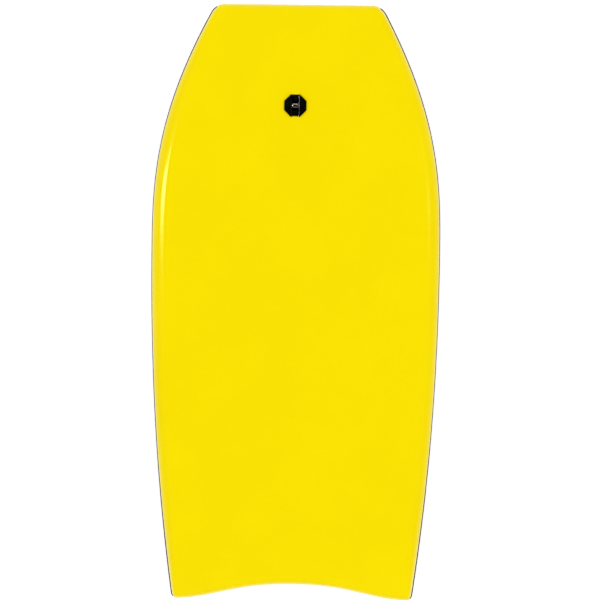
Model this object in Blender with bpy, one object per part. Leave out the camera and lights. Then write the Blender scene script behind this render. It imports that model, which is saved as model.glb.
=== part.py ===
"""A 41 inch soft-deck bodyboard. Metres: +Y to the nose, +Z up out of the deck, slick face on z = 0."""

import math
from collections import namedtuple

import bmesh
import bpy
from mathutils import Matrix, Vector

# Outline seen from above. Each reach is the length of a curve's handle at that place.
LENGTH = 1.041
HALF_WIDTH = 0.2528
WIDE_POINT_BACK = 0.417  # from the nose to the widest place
NOSE_HALF_WIDTH = 0.1452
NOSE_FLARE = math.radians(28.7)  # the side leaves the nose at this angle to the centreline
NOSE_REACH = 0.2088
WIDE_REACH_FRONT = 0.1204
WIDE_REACH_REAR = 0.2805
TAIL_HALF_WIDTH = 0.2102
TAIL_TAPER = math.radians(8.0)
TAIL_REACH = 0.1579
CRESCENT_DEPTH = 0.0270
CRESCENT_REACH_TIP = 0.073
CRESCENT_REACH_MIDDLE = 0.107
NOSE_CORNER_RADIUS = 0.028
TAIL_CORNER_RADIUS = 0.011

# Side view
THICKNESS = 0.052
NOSE_THICKNESS = 0.040
NOSE_THIN_LENGTH = 0.155
TAIL_THICKNESS = 0.044
TAIL_THIN_LENGTH = 0.080
NOSE_LIFT = 0.022
ROCKER_LENGTH = 0.468
APEX_SHARE = 0.42  # the widest line of the rail stands at this share of the thickness

# Rail section. The shoulder is how far in the deck starts to fall, the tuck how far the bottom edge is in.
SIDE_SHOULDER = 0.026
NOSE_SHOULDER = 0.012
TAIL_SHOULDER = 0.0095
SIDE_TUCK = 0.010
NOSE_TUCK = 0.004
TAIL_TUCK = 0.0025
SHOULDER_BLEND_LENGTH = 0.180
RAIL_REVEAL_MIDDLE = 0.0008  # the rail strip shows beyond the deck skin by this much
RAIL_REVEAL_CORNER = 0.0016
STRIP_CHAMFER = 0.0006

# Layers
GAP = 0.0003
SKIN = 0.0035
BOTTOM_FOAM = 0.003
SLICK = 0.001
SLICK_TOP = SLICK
FOAM_BASE = SLICK_TOP + GAP
FOAM_TOP = FOAM_BASE + BOTTOM_FOAM
CORE_BASE = FOAM_TOP + GAP

# Mesh steps round half of the outline
END_STEPS = 5
CORNER_STEPS = 4
FRONT_STEPS = 8
REAR_STEPS = 12
SHOULDER_STEPS = 4

# Leash plug, in its own frame: z = 0 on the deck, +Z out of it
PLUG_BACK = 0.1776  # from the nose
PLUG_ASIDE = -0.004  # off the centreline, to the left
FLANGE_APOTHEM = 0.0191
FLANGE_PROUD = 0.0018
FLANGE_SUNK = 0.0022
FLANGE_CHAMFER = 0.0008
BARREL_RADIUS = 0.0122
BARREL_END = -0.044
BARREL_CHAMFER = 0.001
THREAD_DEPTH = 0.0008
THREAD_CLEARANCE = 0.0004
THREAD_PITCH = 0.0035
THREAD_LOW = -0.0425
THREAD_HIGH = -0.0245
THREAD_FADE = 0.002
THREAD_SIDES = 20
THREAD_PROFILE = ((0.0, 0), (0.3, 1), (0.5, 1), (0.8, 0))  # share of a pitch, root 0 or crest 1
SLEEVE_RADIUS = 0.0152
SLEEVE_TOP = -0.004
BORE_RADIUS = SLEEVE_RADIUS + GAP
CHANNEL_WIDTH = 0.0124
CHANNEL_ARC_RADIUS = 0.0792
CHANNEL_FLOOR = -0.0022
TROUGH_RADIUS = 0.0094
TROUGH_HEIGHT = -0.0043
PIN_RADIUS = 0.0042
PIN_LENGTH = 0.0206
PIN_CHAMFER = 0.0005
PIN_BELOW_LAND = 0.0055
PIN_HEIGHT = FLANGE_PROUD - PIN_BELOW_LAND
NUT_PROUD = 0.0008
COIN_SLOT_WIDTH = 0.0026
COIN_SLOT_LENGTH = 0.024
COIN_SLOT_DEPTH = 0.0014
ROUND_SIDES = 32

Station = namedtuple("Station", "point tangent inward shoulder reveal tuck")


def remove_everything():
    for item in list(bpy.data.objects):
        bpy.data.objects.remove(item)


def smooth_step(value):
    value = min(max(value, 0.0), 1.0)
    return value * value * (3 - 2 * value)


def blend(start, end, share):
    return start + (end - start) * share


# Heights, as functions of y


def thickness(y):
    """The board is even in thickness, and thins towards the nose and the tail."""
    back = LENGTH / 2 - y
    nose = max(0.0, 1 - back / NOSE_THIN_LENGTH)
    tail = max(0.0, 1 - (LENGTH - back) / TAIL_THIN_LENGTH)
    return THICKNESS - (THICKNESS - NOSE_THICKNESS) * nose**2 - (THICKNESS - TAIL_THICKNESS) * tail**2


def bottom_height(y):
    """The bottom is flat from the tail to past the middle, then lifts to the nose."""
    back = LENGTH / 2 - y
    return NOSE_LIFT * max(0.0, 1 - back / ROCKER_LENGTH) ** 2


def deck_height(y):
    return bottom_height(y) + thickness(y)


def apex_height(y):
    return bottom_height(y) + APEX_SHARE * thickness(y)


# Outline


def curve_point(curve, t):
    """The point on a cubic Bezier curve at t, and the unit direction of travel there."""
    a, b, c, d = curve
    u = 1 - t
    point = u**3 * a + 3 * u * u * t * b + 3 * u * t * t * c + t**3 * d
    slope = u * u * (b - a) + 2 * u * t * (c - b) + t * t * (d - c)
    return point, slope.normalized()


def trim_share(curve, distance):
    """The t at which a curve is this far from its start."""
    low, high = 0.0, 0.5
    for _ in range(40):
        middle = (low + high) / 2
        if (curve_point(curve, middle)[0] - curve[0]).length < distance:
            low = middle
        else:
            high = middle
    return low


def even_shares(curve, first, last, steps, samples=400):
    """Values of t from first to last that split the curve into equal lengths."""
    shares = [blend(first, last, i / samples) for i in range(samples + 1)]
    points = [curve_point(curve, t)[0] for t in shares]
    travelled = [0.0]
    for before, after in zip(points, points[1:]):
        travelled.append(travelled[-1] + (after - before).length)
    wanted = [travelled[-1] * i / steps for i in range(steps + 1)]
    return [shares[min(range(samples + 1), key=lambda i: abs(travelled[i] - w))] for w in wanted]


def corner_curve(start, start_way, end, end_way):
    """A round corner that leaves start along one direction and reaches end along the other."""
    turn = start_way.angle(end_way)
    radius = (end - start).length / (2 * math.sin(turn / 2))
    reach = 4 / 3 * math.tan(turn / 4) * radius
    return start, start + reach * start_way, end - reach * end_way, end


def half_outline():
    """Points and directions down the right half, from the nose centre to the tail centre."""
    nose_y = LENGTH / 2
    nose_corner = Vector((NOSE_HALF_WIDTH, nose_y))
    widest = Vector((HALF_WIDTH, nose_y - WIDE_POINT_BACK))
    tail_corner = Vector((TAIL_HALF_WIDTH, -nose_y))
    tail_centre = Vector((0, CRESCENT_DEPTH - nose_y))
    ahead = Vector((0, 1))
    across = Vector((1, 0))
    front = (
        nose_corner,
        nose_corner + NOSE_REACH * Vector((math.sin(NOSE_FLARE), -math.cos(NOSE_FLARE))),
        widest + WIDE_REACH_FRONT * ahead,
        widest,
    )
    rear = (
        widest,
        widest - WIDE_REACH_REAR * ahead,
        tail_corner + TAIL_REACH * Vector((math.sin(TAIL_TAPER), math.cos(TAIL_TAPER))),
        tail_corner,
    )
    crescent = (
        tail_corner,
        tail_corner - CRESCENT_REACH_TIP * across,
        tail_centre + CRESCENT_REACH_MIDDLE * across,
        tail_centre,
    )
    nose_trim = NOSE_CORNER_RADIUS * math.tan((math.pi / 2 - NOSE_FLARE) / 2)
    tail_trim = TAIL_CORNER_RADIUS * math.tan((math.pi / 2 - TAIL_TAPER) / 2)
    front_start = trim_share(front, nose_trim)
    rear_end = 1 - trim_share(rear[::-1], tail_trim)
    crescent_start = trim_share(crescent, tail_trim)
    nose_end = nose_corner - nose_trim * across
    nose_round = corner_curve(nose_end, across, *curve_point(front, front_start))
    tail_round = corner_curve(*curve_point(rear, rear_end), *curve_point(crescent, crescent_start))

    line = [(nose_end * Vector((i / END_STEPS, 1)), across) for i in range(END_STEPS)]
    line += [curve_point(nose_round, i / CORNER_STEPS) for i in range(CORNER_STEPS)]
    line += [curve_point(front, t) for t in even_shares(front, front_start, 1, FRONT_STEPS)[:-1]]
    line += [curve_point(rear, t) for t in even_shares(rear, 0, rear_end, REAR_STEPS)[:-1]]
    line += [curve_point(tail_round, i / CORNER_STEPS) for i in range(CORNER_STEPS)]
    line += [curve_point(crescent, t) for t in even_shares(crescent, crescent_start, 1, END_STEPS)]
    return line


# Indices of the corners' middles on the whole outline, which starts at the nose centre
HALF_COUNT = 2 * END_STEPS + 2 * CORNER_STEPS + FRONT_STEPS + REAR_STEPS
COUNT = 2 * HALF_COUNT
NOSE_RIGHT = END_STEPS + CORNER_STEPS // 2
TAIL_RIGHT = HALF_COUNT - NOSE_RIGHT
TAIL_LEFT = COUNT - TAIL_RIGHT
NOSE_LEFT = COUNT - NOSE_RIGHT
ACROSS = 2 * NOSE_RIGHT
ALONG = TAIL_RIGHT - NOSE_RIGHT


def section_sizes(index, point):
    """Shoulder, reveal and tuck at one place of the right half: slim at the ends, fuller on the side."""
    from_nose = LENGTH / 2 - point.y
    from_tail = LENGTH - from_nose
    side = smooth_step(min(from_nose, from_tail) / SHOULDER_BLEND_LENGTH)
    if index < NOSE_RIGHT or index > TAIL_RIGHT:
        side = 0.0
    near_nose = from_nose < from_tail
    shoulder = blend(NOSE_SHOULDER if near_nose else TAIL_SHOULDER, SIDE_SHOULDER, side)
    tuck = blend(NOSE_TUCK if near_nose else TAIL_TUCK, SIDE_TUCK, side)
    along = (index - NOSE_RIGHT) / ALONG
    reveal = blend(RAIL_REVEAL_MIDDLE, RAIL_REVEAL_CORNER, (2 * along - 1) ** 2)
    if index in (NOSE_RIGHT, TAIL_RIGHT):
        reveal /= 2
    if not NOSE_RIGHT <= index <= TAIL_RIGHT:
        reveal = 0.0
    return shoulder, reveal, tuck


def make_station(index, point, tangent):
    inward = Vector((tangent.y, -tangent.x))
    return Station(point, tangent, inward, *section_sizes(index, point))


def mirrored(station):
    flip = Vector((-1, 1))
    return station._replace(
        point=station.point * flip, tangent=-station.tangent * flip, inward=station.inward * flip
    )


def make_outline():
    """Every station round the board, clockwise from the nose centre."""
    right = [make_station(i, *place) for i, place in enumerate(half_outline())]
    return right + [mirrored(station) for station in right[-2:0:-1]]


# Points of the rail section


def at(station, inset, height):
    plan = station.point + station.inward * inset
    return Vector((plan.x, plan.y, height))


def shoulder_point(station, angle, depth):
    """On the shoulder's quarter ellipse, angle 0 at the apex, or this deep below it."""
    width = station.shoulder - station.reveal
    inset = station.reveal + width * (1 - math.cos(angle))
    y = (station.point + station.inward * inset).y
    rise = deck_height(y) - apex_height(y)
    normal = Vector((math.cos(angle) / width, math.sin(angle) / rise)).normalized()
    height = apex_height(y) + rise * math.sin(angle)
    return at(station, inset + depth * normal.x, height - depth * normal.y)


def flank_point(station, lift, depth):
    """On the straight flank between the apex and the bottom edge, this far above the bottom."""
    apex = APEX_SHARE * thickness(station.point.y)
    inset = depth + station.tuck * (1 - lift / apex)
    y = (station.point + station.inward * inset).y
    return at(station, inset, bottom_height(y) + lift)


def bottom_point(station, lift):
    """Where the bottom's flat middle starts, straight below the deck's."""
    y = (station.point + station.inward * station.shoulder).y
    return at(station, station.shoulder, bottom_height(y) + lift)


def shoulder_rings(stations, depth):
    angles = [math.pi / 2 * i / SHOULDER_STEPS for i in range(SHOULDER_STEPS + 1)]
    return [[shoulder_point(station, angle, depth) for station in stations] for angle in angles]


def bottom_rings(stations, lift, depth_of):
    edge = [flank_point(station, lift, depth_of(station)) for station in stations]
    return [edge, [bottom_point(station, lift) for station in stations]]


# Layers of the board


def border_index(across, along):
    """Which station lies at a border place of the middle patch, or None inside it."""
    if along == 0:
        return (NOSE_LEFT + across) % COUNT
    if along == ALONG:
        return TAIL_LEFT - across
    if across == 0:
        return NOSE_LEFT - along
    if across == ACROSS:
        return NOSE_RIGHT + along
    return None


def length_shares(points):
    travelled = [0.0]
    for before, after in zip(points, points[1:]):
        travelled.append(travelled[-1] + (after - before).length)
    return [value / travelled[-1] for value in travelled]


def middle_plan(border):
    """Plan points inside the shoulder line, blended from its four sides as a Coons patch."""
    nose = [border[border_index(i, 0)] for i in range(ACROSS + 1)]
    tail = [border[border_index(i, ALONG)] for i in range(ACROSS + 1)]
    left = [border[border_index(0, j)] for j in range(ALONG + 1)]
    right = [border[border_index(ACROSS, j)] for j in range(ALONG + 1)]
    plan = {}
    across_shares = [(a + b) / 2 for a, b in zip(length_shares(nose), length_shares(tail))]
    along_shares = [(a + b) / 2 for a, b in zip(length_shares(left), length_shares(right))]
    for i, u in enumerate(across_shares):
        for j, v in enumerate(along_shares):
            sides = left[j].lerp(right[j], u) + nose[i].lerp(tail[i], v)
            corners = left[0].lerp(right[0], u).lerp(left[-1].lerp(right[-1], u), v)
            plan[i, j] = sides - corners
    return plan


def add_surface(mesh, rings, plan, height):
    """Adds the rings, outermost first, and the middle patch at its height. Returns the outer ring."""
    loops = [[mesh.verts.new(point) for point in ring] for ring in rings]
    for outer, inner in zip(loops, loops[1:]):
        for i in range(COUNT):
            k = (i + 1) % COUNT
            mesh.faces.new((outer[i], outer[k], inner[k], inner[i]))
    grid = {}
    for (i, j), place in plan.items():
        index = border_index(i, j)
        inside = index is None
        grid[i, j] = mesh.verts.new((place.x, place.y, height(place.y))) if inside else loops[-1][index]
    for i in range(ACROSS):
        for j in range(ALONG):
            mesh.faces.new((grid[i, j], grid[i + 1, j], grid[i + 1, j + 1], grid[i, j + 1]))
    return loops[0]


def close_mesh(mesh):
    bmesh.ops.triangulate(mesh, faces=mesh.faces, quad_method="BEAUTY")
    bmesh.ops.recalc_face_normals(mesh, faces=mesh.faces)


def layer_mesh(upper, lower, plan, upper_height, lower_height):
    """A closed layer between two surfaces, joined round their outer rings."""
    mesh = bmesh.new()
    top = add_surface(mesh, upper, plan, upper_height)
    base = add_surface(mesh, lower, plan, lower_height)
    for i in range(COUNT):
        k = (i + 1) % COUNT
        mesh.faces.new((top[i], top[k], base[k], base[i]))
    close_mesh(mesh)
    return mesh


def strip_section(station):
    """The five corners of an edge strip's section, from its top inner corner outwards and down."""
    apex = shoulder_point(station, 0, 0).z - GAP
    inner = station.reveal + SKIN
    return [
        at(station, inner, apex),
        at(station, STRIP_CHAMFER, apex),
        at(station, 0, apex - STRIP_CHAMFER),
        flank_point(station, FOAM_BASE, 0),
        flank_point(station, FOAM_BASE, inner),
    ]


def strip_mesh(stations):
    """An edge strip between two corners, with half a gap left free at each end."""
    first, last = stations[0], stations[-1]
    ends = (
        first._replace(point=first.point + first.tangent * GAP / 2),
        last._replace(point=last.point - last.tangent * GAP / 2),
    )
    mesh = bmesh.new()
    stations = [ends[0], *stations[1:-1], ends[1]]
    sections = [[mesh.verts.new(p) for p in strip_section(station)] for station in stations]
    for before, after in zip(sections, sections[1:]):
        for i, corner in enumerate(before):
            k = (i + 1) % len(before)
            mesh.faces.new((corner, before[k], after[k], after[i]))
    mesh.faces.new(sections[0])
    mesh.faces.new(sections[-1])
    close_mesh(mesh)
    return mesh


# Objects and materials


def make_material(name, colour, roughness, metallic=0.0):
    material = bpy.data.materials.new(name)
    material.use_nodes = True
    shader = material.node_tree.nodes["Principled BSDF"]
    shader.inputs["Base Color"].default_value = (*colour, 1)
    shader.inputs["Roughness"].default_value = roughness
    shader.inputs["Metallic"].default_value = metallic
    return material


def make_collection(name):
    collection = bpy.data.collections.new(name)
    bpy.context.scene.collection.children.link(collection)
    return collection


def make_object(name, mesh, collection, material=None, parent=None):
    data = bpy.data.meshes.new(name)
    mesh.to_mesh(data)
    mesh.free()
    item = bpy.data.objects.new(name, data)
    collection.objects.link(item)
    if material:
        data.materials.append(material)
        data.shade_smooth()
        data.set_sharp_from_angle(angle=math.radians(35))
    else:
        item.hide_render = True
        item.display_type = "WIRE"
    item.parent = parent
    return item


def combine(item, cutter, operation):
    modifier = item.modifiers.new(f"{operation.lower()} {cutter.name}", "BOOLEAN")
    modifier.operation = operation
    modifier.solver = "EXACT"
    modifier.object = cutter


# Leash plug shapes


def octagon_mesh(sections):
    """A prism with flats on +X and +Y, through sections of (apothem, height) from low to high."""
    mesh = bmesh.new()
    rings = []
    for apothem, height in sections:
        radius = apothem / math.cos(math.pi / 8)
        corners = [math.pi / 8 + math.pi / 4 * i for i in range(8)]
        rings.append([mesh.verts.new((radius * math.cos(a), radius * math.sin(a), height)) for a in corners])
    for low, high in zip(rings, rings[1:]):
        for i in range(8):
            k = (i + 1) % 8
            mesh.faces.new((low[i], low[k], high[k], high[i]))
    mesh.faces.new(rings[0])
    mesh.faces.new(rings[-1])
    bmesh.ops.recalc_face_normals(mesh, faces=mesh.faces)
    return mesh


def upright_cylinder(radius, low, high):
    mesh = bmesh.new()
    place = Matrix.Translation((0, 0, (low + high) / 2))
    bmesh.ops.create_cone(
        mesh, cap_ends=True, segments=ROUND_SIDES, radius1=radius, radius2=radius, depth=high - low, matrix=place
    )
    return mesh


def crosswise_cylinder(radius, length, height, sides=ROUND_SIDES):
    mesh = bmesh.new()
    place = Matrix.Translation((0, 0, height)) @ Matrix.Rotation(math.pi / 2, 4, "Y")
    bmesh.ops.create_cone(
        mesh, cap_ends=True, segments=sides, radius1=radius, radius2=radius, depth=length, matrix=place
    )
    return mesh


def threaded_rod(plain_rings, radius_of, high):
    """A rod up to a plain top. plain_rings are (radius, height) below the thread, and radius_of takes
    the thread's shape, 0 at its root and 1 at its crest, and how far it has faded in at that height."""
    turns = math.ceil((THREAD_HIGH - THREAD_LOW) / THREAD_PITCH) + 2
    rows = []
    for turn in range(turns):
        rows += [(turn - 1 + share, shape) for share, shape in THREAD_PROFILE]
    mesh = bmesh.new()
    columns = []
    for side in range(THREAD_SIDES):
        angle = 2 * math.pi * side / THREAD_SIDES
        column = []
        for turn, shape in rows:
            free = THREAD_LOW + THREAD_PITCH * (turn + side / THREAD_SIDES)
            height = min(max(free, THREAD_LOW), THREAD_HIGH)
            faded = min(1.0, (height - THREAD_LOW) / THREAD_FADE, (THREAD_HIGH - height) / THREAD_FADE)
            radius = radius_of(shape, faded)
            column.append((radius * math.cos(angle), radius * math.sin(angle), height))
        columns.append([mesh.verts.new(point) for point in column])
    step = len(THREAD_PROFILE)
    columns.append(columns[0][step:])  # one turn later, the first side again
    for before, after in zip(columns, columns[1:]):
        for i in range(min(len(before), len(after)) - 1):
            mesh.faces.new((before[i], after[i], after[i + 1], before[i + 1]))
    bmesh.ops.remove_doubles(mesh, verts=mesh.verts, dist=1e-7)
    bottom = ring_at(mesh, THREAD_LOW)
    top = ring_at(mesh, THREAD_HIGH)
    for radius, height in plain_rings:
        bottom = extend_ring(mesh, bottom, radius, height)
    top = extend_ring(mesh, top, radius_of(0, 0), high)
    mesh.faces.new(bottom)
    mesh.faces.new(top)
    bmesh.ops.recalc_face_normals(mesh, faces=mesh.faces)
    return mesh


def ring_at(mesh, height):
    """The plain ring of vertices at a height, in order round the axis."""
    ring = [vert for vert in mesh.verts if abs(vert.co.z - height) < 1e-7]
    return sorted(ring, key=lambda vert: math.atan2(vert.co.y, vert.co.x) % (2 * math.pi))


def extend_ring(mesh, ring, radius, height):
    """A further ring at another radius and height, joined to this one."""
    new = []
    for vert in ring:
        way = Vector((vert.co.x, vert.co.y)).normalized() * radius
        new.append(mesh.verts.new((way.x, way.y, height)))
    for i, vert in enumerate(ring):
        k = (i + 1) % len(ring)
        mesh.faces.new((vert, ring[k], new[k], new[i]))
    return new


def pin_mesh():
    mesh = crosswise_cylinder(PIN_RADIUS, PIN_LENGTH, PIN_HEIGHT)
    ends = [edge for edge in mesh.edges if abs(edge.verts[0].co.x - edge.verts[1].co.x) < 1e-6]
    bmesh.ops.bevel(mesh, geom=ends, offset=PIN_CHAMFER, segments=1, affect="EDGES")
    return mesh


# The pieces


def make_board(stations, pieces, paint):
    """The core, the skin over it, the two bottom layers and the four edge strips."""
    border = [station.point + station.inward * station.shoulder for station in stations]
    plan = middle_plan(border)

    def layer(name, material, upper, lower, upper_height, lower_height):
        return make_object(name, layer_mesh(upper, lower, plan, upper_height, lower_height), pieces, material)

    def inside_strip(station):
        return station.reveal + SKIN + GAP

    def deck_less(depth):
        return lambda y: deck_height(y) - depth

    def bottom_plus(lift):
        return lambda y: bottom_height(y) + lift

    skin = layer(
        "deck_skin", paint["yellow_foam"], shoulder_rings(stations, 0), shoulder_rings(stations, SKIN),
        deck_less(0), deck_less(SKIN),
    )
    core = layer(
        "foam_core", paint["white_foam"], shoulder_rings(stations, SKIN + GAP),
        bottom_rings(stations, CORE_BASE, inside_strip), deck_less(SKIN + GAP), bottom_plus(CORE_BASE),
    )
    backing = layer(
        "bottom_foam", paint["black_foam"], bottom_rings(stations, FOAM_TOP, inside_strip),
        bottom_rings(stations, FOAM_BASE, inside_strip), bottom_plus(FOAM_TOP), bottom_plus(FOAM_BASE),
    )
    slick = layer(
        "slick_sheet", paint["slick"], bottom_rings(stations, SLICK_TOP, lambda station: 0),
        bottom_rings(stations, 0, lambda station: 0), bottom_plus(SLICK_TOP), bottom_plus(0),
    )
    strips = (
        ("rail_right", "black_foam", stations[NOSE_RIGHT : TAIL_RIGHT + 1]),
        ("rail_left", "black_foam", stations[TAIL_LEFT : NOSE_LEFT + 1]),
        ("nose_bumper", "yellow_foam", stations[NOSE_LEFT:] + stations[: NOSE_RIGHT + 1]),
        ("tail_bumper", "yellow_foam", stations[TAIL_RIGHT : TAIL_LEFT + 1]),
    )
    for name, colour, part in strips:
        make_object(name, strip_mesh(part), pieces, paint[colour])
    return skin, core, backing, slick


def plug_axis(pieces):
    """An empty on the deck at the plug, its Z along the deck's normal."""
    y = LENGTH / 2 - PLUG_BACK
    step = 0.001
    slope = math.atan2(deck_height(y + step) - deck_height(y - step), 2 * step)
    axis = bpy.data.objects.new("plug_axis", None)
    axis.matrix_world = Matrix.Translation((PLUG_ASIDE, y, deck_height(y))) @ Matrix.Rotation(slope, 4, "X")
    pieces.objects.link(axis)
    return axis, -thickness(y) * math.cos(slope)


def make_cup(axis, pieces, cutters, paint):
    """The octagonal top half: a flange and a threaded barrel, hollowed for the leash round a pin."""
    flange = octagon_mesh((
        (FLANGE_APOTHEM, -FLANGE_SUNK),
        (FLANGE_APOTHEM, FLANGE_PROUD - FLANGE_CHAMFER),
        (FLANGE_APOTHEM - FLANGE_CHAMFER, FLANGE_PROUD),
    ))
    cup = make_object("plug_cup", flange, pieces, paint["plug"], axis)
    plain_end = (
        (BARREL_RADIUS, BARREL_END + BARREL_CHAMFER),
        (BARREL_RADIUS - BARREL_CHAMFER, BARREL_END),
    )
    barrel = threaded_rod(
        plain_end, lambda shape, faded: BARREL_RADIUS + THREAD_DEPTH * shape * faded, -FLANGE_SUNK / 2
    )
    channel_centre = CHANNEL_FLOOR + CHANNEL_ARC_RADIUS
    pin_hole = crosswise_cylinder(PIN_RADIUS + GAP, PIN_LENGTH + 2 * GAP, PIN_HEIGHT)
    trough = crosswise_cylinder(TROUGH_RADIUS, CHANNEL_WIDTH, TROUGH_HEIGHT)
    mouth = bmesh.new()
    mouth_place = Matrix.Translation((0, 0, TROUGH_HEIGHT + TROUGH_RADIUS / 2))
    mouth_size = Matrix.Diagonal((CHANNEL_WIDTH, 2 * TROUGH_RADIUS, TROUGH_RADIUS, 1))
    bmesh.ops.create_cube(mouth, size=1, matrix=mouth_place @ mouth_size)
    channel = crosswise_cylinder(CHANNEL_ARC_RADIUS, CHANNEL_WIDTH, channel_centre, sides=96)
    combine(cup, make_object("barrel", barrel, cutters, parent=axis), "UNION")
    combine(cup, make_object("channel_cut", channel, cutters, parent=axis), "DIFFERENCE")
    combine(cup, make_object("trough_cut", trough, cutters, parent=axis), "DIFFERENCE")
    combine(cup, make_object("mouth_cut", mouth, cutters, parent=axis), "DIFFERENCE")
    combine(cup, make_object("pin_hole_cut", pin_hole, cutters, parent=axis), "DIFFERENCE")
    make_object("plug_pin", pin_mesh(), pieces, paint["steel"], axis)


def make_nut(axis, base, pieces, cutters, paint):
    """The bottom half: an octagonal flange and a sleeve that the barrel screws into."""
    inner_face = base + FLANGE_SUNK
    outer_face = base - NUT_PROUD
    flange = octagon_mesh((
        (FLANGE_APOTHEM - FLANGE_CHAMFER, outer_face),
        (FLANGE_APOTHEM, outer_face + FLANGE_CHAMFER),
        (FLANGE_APOTHEM, inner_face),
    ))
    nut = make_object("plug_nut", flange, pieces, paint["plug"], axis)
    sleeve = upright_cylinder(SLEEVE_RADIUS, inner_face - FLANGE_SUNK / 2, SLEEVE_TOP)
    clear_radius = BARREL_RADIUS + THREAD_DEPTH + THREAD_CLEARANCE
    bore = threaded_rod(
        ((clear_radius, inner_face),),
        lambda shape, faded: clear_radius - THREAD_DEPTH * (1 - shape) * faded,
        SLEEVE_TOP + FLANGE_SUNK,
    )
    slot = bmesh.new()
    slot_place = Matrix.Translation((0, 0, outer_face))
    slot_size = Matrix.Diagonal((COIN_SLOT_LENGTH, COIN_SLOT_WIDTH, 2 * COIN_SLOT_DEPTH, 1))
    bmesh.ops.create_cube(slot, size=1, matrix=slot_place @ slot_size)
    combine(nut, make_object("sleeve", sleeve, cutters, parent=axis), "UNION")
    combine(nut, make_object("bore_cut", bore, cutters, parent=axis), "DIFFERENCE")
    combine(nut, make_object("coin_slot_cut", slot, cutters, parent=axis), "DIFFERENCE")


def cut_board(axis, base, cutters, skin, core, backing, slick):
    """One drilled hole through every layer, and a pocket for a flange on each side."""
    past = THICKNESS
    hole = make_object("hole_cut", upright_cylinder(BORE_RADIUS, -2 * past, past), cutters, parent=axis)
    apothem = FLANGE_APOTHEM + GAP
    pocket_top = octagon_mesh(((apothem, -FLANGE_SUNK - GAP), (apothem, past)))
    pocket_base = octagon_mesh(((apothem, base - past), (apothem, base + FLANGE_SUNK + GAP)))
    deck_pocket = make_object("deck_pocket_cut", pocket_top, cutters, parent=axis)
    slick_pocket = make_object("slick_pocket_cut", pocket_base, cutters, parent=axis)
    combine(skin, deck_pocket, "DIFFERENCE")
    for layer in (skin, core, backing):
        combine(layer, hole, "DIFFERENCE")
    for layer in (backing, slick):
        combine(layer, slick_pocket, "DIFFERENCE")


def main():
    remove_everything()
    pieces = make_collection("bodyboard")
    cutters = make_collection("cutters")
    paint = {
        "yellow_foam": make_material("yellow_foam", (0.97, 0.78, 0.004), 0.5),
        "black_foam": make_material("black_foam", (0.02, 0.02, 0.022), 0.55),
        "white_foam": make_material("white_foam", (0.9, 0.9, 0.88), 0.8),
        "slick": make_material("slick", (0.02, 0.02, 0.022), 0.25),
        "plug": make_material("plug", (0.012, 0.012, 0.014), 0.3),
        "steel": make_material("steel", (0.62, 0.6, 0.57), 0.25, metallic=1.0),
    }
    board = make_board(make_outline(), pieces, paint)
    axis, base = plug_axis(pieces)
    make_cup(axis, pieces, cutters, paint)
    make_nut(axis, base, pieces, cutters, paint)
    cut_board(axis, base, cutters, *board)


main()
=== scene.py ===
"""Looks of a 41 inch soft-deck bodyboard: fine foam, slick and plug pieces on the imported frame, and a studio.

Metres, +Y to the nose, +Z up out of the deck, slick face on z = 0. Every piece is built again on the driving
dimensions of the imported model, with rounded lips, a dimple round the leash plug and finer steps.
"""

import math
from collections import namedtuple

import bmesh
import bpy
from mathutils import Matrix, Vector, noise


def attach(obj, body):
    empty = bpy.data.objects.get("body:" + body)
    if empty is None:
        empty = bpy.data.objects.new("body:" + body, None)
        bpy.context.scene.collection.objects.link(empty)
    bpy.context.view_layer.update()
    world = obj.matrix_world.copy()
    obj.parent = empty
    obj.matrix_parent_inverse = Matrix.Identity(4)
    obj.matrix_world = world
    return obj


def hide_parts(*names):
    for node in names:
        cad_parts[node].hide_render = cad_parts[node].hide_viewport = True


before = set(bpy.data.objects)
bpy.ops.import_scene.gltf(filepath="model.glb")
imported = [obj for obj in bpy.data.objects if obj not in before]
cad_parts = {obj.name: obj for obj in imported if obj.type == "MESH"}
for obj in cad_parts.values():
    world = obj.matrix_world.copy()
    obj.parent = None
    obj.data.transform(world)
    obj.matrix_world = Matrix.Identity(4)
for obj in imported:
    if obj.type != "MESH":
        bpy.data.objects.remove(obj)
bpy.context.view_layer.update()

# Outline seen from above. Each reach is the length of a curve's handle at that place.
LENGTH = 1.041
HALF_WIDTH = 0.2528
WIDE_POINT_BACK = 0.417  # from the nose to the widest place
NOSE_HALF_WIDTH = 0.1452
NOSE_FLARE = math.radians(28.7)  # the side leaves the nose at this angle to the centreline
NOSE_REACH = 0.2088
WIDE_REACH_FRONT = 0.1204
WIDE_REACH_REAR = 0.2805
TAIL_HALF_WIDTH = 0.2102
TAIL_TAPER = math.radians(8.0)
TAIL_REACH = 0.1579
CRESCENT_DEPTH = 0.0270
CRESCENT_REACH_TIP = 0.073
CRESCENT_REACH_MIDDLE = 0.107
NOSE_CORNER_RADIUS = 0.028
TAIL_CORNER_RADIUS = 0.011

# Side view
THICKNESS = 0.052
NOSE_THICKNESS = 0.040
NOSE_THIN_LENGTH = 0.155
TAIL_THICKNESS = 0.044
TAIL_THIN_LENGTH = 0.080
NOSE_LIFT = 0.022
ROCKER_LENGTH = 0.468
APEX_SHARE = 0.42  # the widest line of the rail stands at this share of the thickness

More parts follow.
